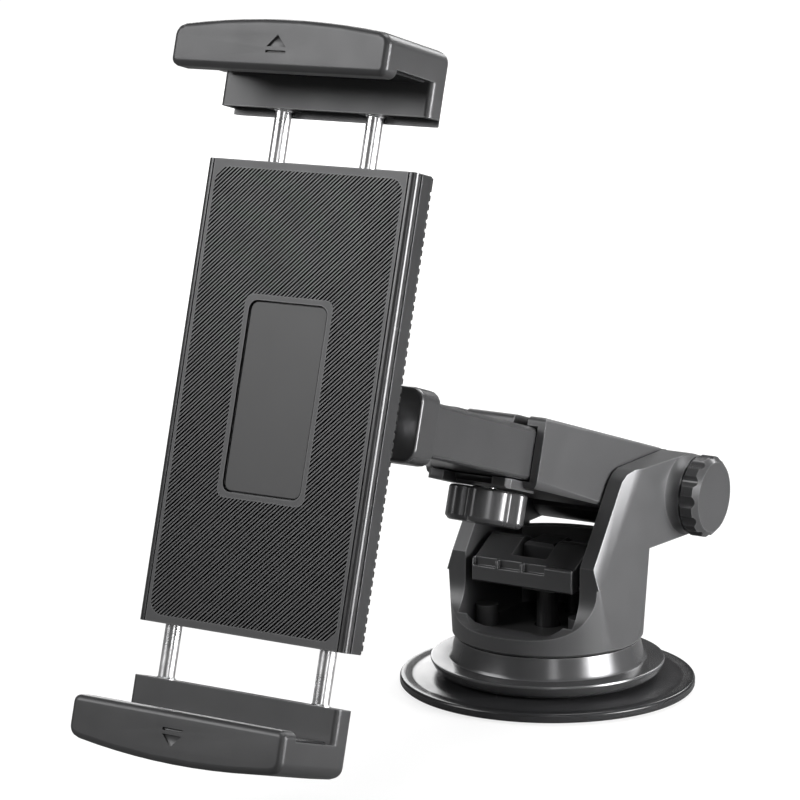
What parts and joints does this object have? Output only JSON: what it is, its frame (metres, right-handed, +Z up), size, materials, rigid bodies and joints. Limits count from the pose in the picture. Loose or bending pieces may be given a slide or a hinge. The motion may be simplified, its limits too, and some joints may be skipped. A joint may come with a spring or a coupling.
{
  "type": "phone and tablet mount",
  "caption": "Suction-foot vehicle mount with a telescopic arm, a ball joint and a flat ribbed holder whose two sprung jaws slide out on bright rods to grip a phone or tablet.",
  "frame": {"origin": "centre of the suction pad's flat face, on the surface it sticks to", "axes": "+Z up from the suction face, -Y towards the held device, +X to the right seen from the device's side, where the clamp knob is"},
  "size_m": [0.078, 0.2147, 0.1877],
  "materials": {
    "grey_plastic": "fine satin grain",
    "dark_plastic": "satin",
    "black_rubber": "matt",
    "clear_gel": "glossy, tacky",
    "chromed_steel": "polished",
    "steel": "zinc plated",
    "spring_steel": "drawn wire",
    "nylon": "natural"
  },
  "bodies": {
    "base": {"gel_pad": "clear_gel", "suction_cup": "black_rubber", "base_ring": "dark_plastic", "base_screw_1": "steel", "base_screw_2": "steel", "base_screw_3": "steel", "cup_spring": "spring_steel", "base_housing": "grey_plastic", "lever_pin_left": "steel", "lever_pin_right": "steel", "pivot_nut": "steel", "friction_washer_left": "nylon", "friction_washer_right": "nylon"},
    "lever": {"suction_lever": "dark_plastic", "crank_pin": "steel"},
    "stem": {"lift_stem": "steel"},
    "sleeve": {"arm_sleeve": "grey_plastic"},
    "clamp_knob": {"pivot_knob": "dark_plastic", "pivot_bolt": "steel"},
    "lock_knob": {"arm_lock_knob": "dark_plastic", "lock_bolt": "steel"},
    "telescope": {"inner_arm": "dark_plastic", "arm_end_cap": "dark_plastic", "ball_stud": "steel"},
    "ball_turn": {"ball_collar": "nylon"},
    "ball_tilt": {"ball_seat": "nylon"},
    "holder": {"ball_socket": "dark_plastic", "lock_ring": "dark_plastic", "holder_frame": "grey_plastic", "front_panel": "grey_plastic", "label_plate": "dark_plastic", "back_cover": "dark_plastic", "rod_guide_upper": "nylon", "rod_guide_lower": "nylon", "upper_spring_left": "spring_steel", "upper_spring_right": "spring_steel", "lower_spring_left": "spring_steel", "lower_spring_right": "spring_steel"},
    "upper_jaw": {"upper_jaw": "grey_plastic", "upper_jaw_pad": "black_rubber", "upper_rod_left": "chromed_steel", "upper_rod_right": "chromed_steel"},
    "lower_jaw": {"lower_jaw": "grey_plastic", "lower_jaw_pad": "black_rubber", "lower_rod_left": "chromed_steel", "lower_rod_right": "chromed_steel"}
  },
  "joints": [
    {"name": "arm_pivot", "type": "hinge", "parent": "base", "child": "sleeve", "pos_m": [0, 0.03, 0.0482], "axis": [-1, 0, 0], "range_deg": [-8, 75]},
    {"name": "clamp_knob_turn", "type": "hinge", "parent": "base", "child": "clamp_knob", "pos_m": [0, 0.03, 0.0482], "axis": [1, 0, 0], "continuous": true},
    {"name": "lock_knob_turn", "type": "hinge", "parent": "sleeve", "child": "lock_knob", "pos_m": [0, -0.03282, 0.05554], "axis": [0, 0.3024, 0.9532], "continuous": true},
    {"name": "arm_slide", "type": "slide", "parent": "sleeve", "child": "telescope", "axis": [0, -0.9532, 0.3024], "range_m": [-0.027, 0.012]},
    {"name": "ball_yaw", "type": "hinge", "parent": "telescope", "child": "ball_turn", "pos_m": [0, -0.11154, 0.09478], "axis": [0, 0.3024, 0.9532], "range_deg": [-11, 25]},
    {"name": "ball_pitch", "type": "hinge", "parent": "ball_turn", "child": "ball_tilt", "pos_m": [0, -0.11154, 0.09478], "axis": [-0.9927, 0.1143, -0.0376], "range_deg": [-17, 17]},
    {"name": "ball_spin", "type": "hinge", "parent": "ball_tilt", "child": "holder", "pos_m": [0, -0.11154, 0.09478], "axis": [-0.1203, -0.9498, 0.2889], "continuous": true},
    {"name": "upper_jaw_slide", "type": "slide", "parent": "holder", "child": "upper_jaw", "axis": [-0.0027, 0.2913, 0.9566], "range_m": [-0.0109, 0.04], "deforming": ["upper_spring_left", "upper_spring_right"]},
    {"name": "lower_jaw_slide", "type": "slide", "parent": "holder", "child": "lower_jaw", "axis": [0.0027, -0.2913, -0.9566], "range_m": [-0.0109, 0.04], "deforming": ["lower_spring_left", "lower_spring_right"]},
    {"name": "lever_lift", "type": "hinge", "parent": "base", "child": "lever", "pos_m": [0, -0.003, 0.035], "axis": [-1, 0, 0], "range_deg": [0, 45]},
    {"name": "stem_slide", "type": "slide", "parent": "base", "child": "stem", "axis": [0, 0, -1], "range_m": [0, 0.00192]}
  ],
  "couplings": [
    {"joint": "stem_slide", "follows": "lever_lift", "m_per_rad": 0.0024362}
  ]
}
